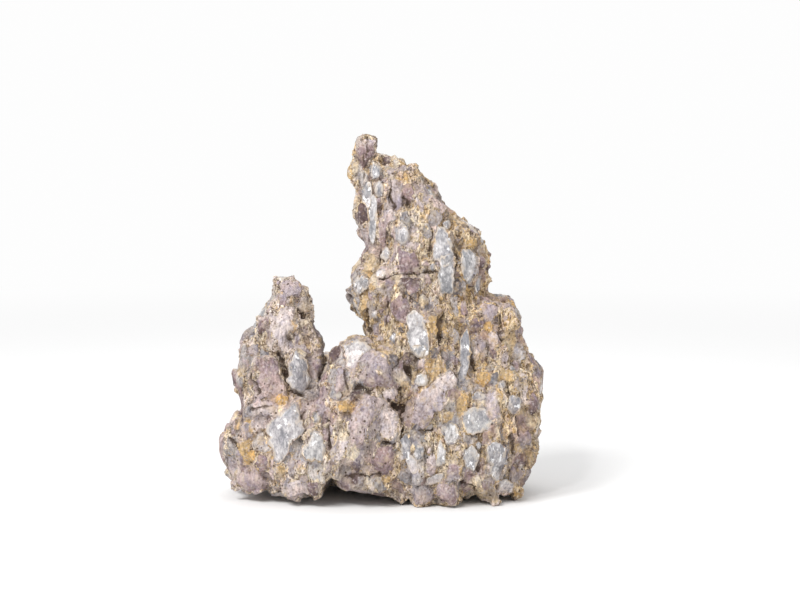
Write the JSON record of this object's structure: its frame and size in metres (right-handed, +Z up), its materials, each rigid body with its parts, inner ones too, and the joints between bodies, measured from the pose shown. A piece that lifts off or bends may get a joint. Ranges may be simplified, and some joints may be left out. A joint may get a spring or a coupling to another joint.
{
  "type": "ibigawa rock",
  "caption": "Craggy breccia stone with a broad foot, a low left pinnacle and a tall leaning tower, set on a tank bed or shelf as a rockscape piece.",
  "frame": {"origin": "centre of the bounding box's foot, on the surface that the stone rests on", "axes": "+Z up, -Y towards the face seen in the picture, +X to the right of that face"},
  "size_m": [0.2194, 0.1232, 0.2423],
  "materials": {
    "stone": "rough, gritty, with smooth glossy quartz fragments"
  },
  "bodies": {
    "root": {"ibigawa_rock": "stone"}
  },
  "joints": []
}
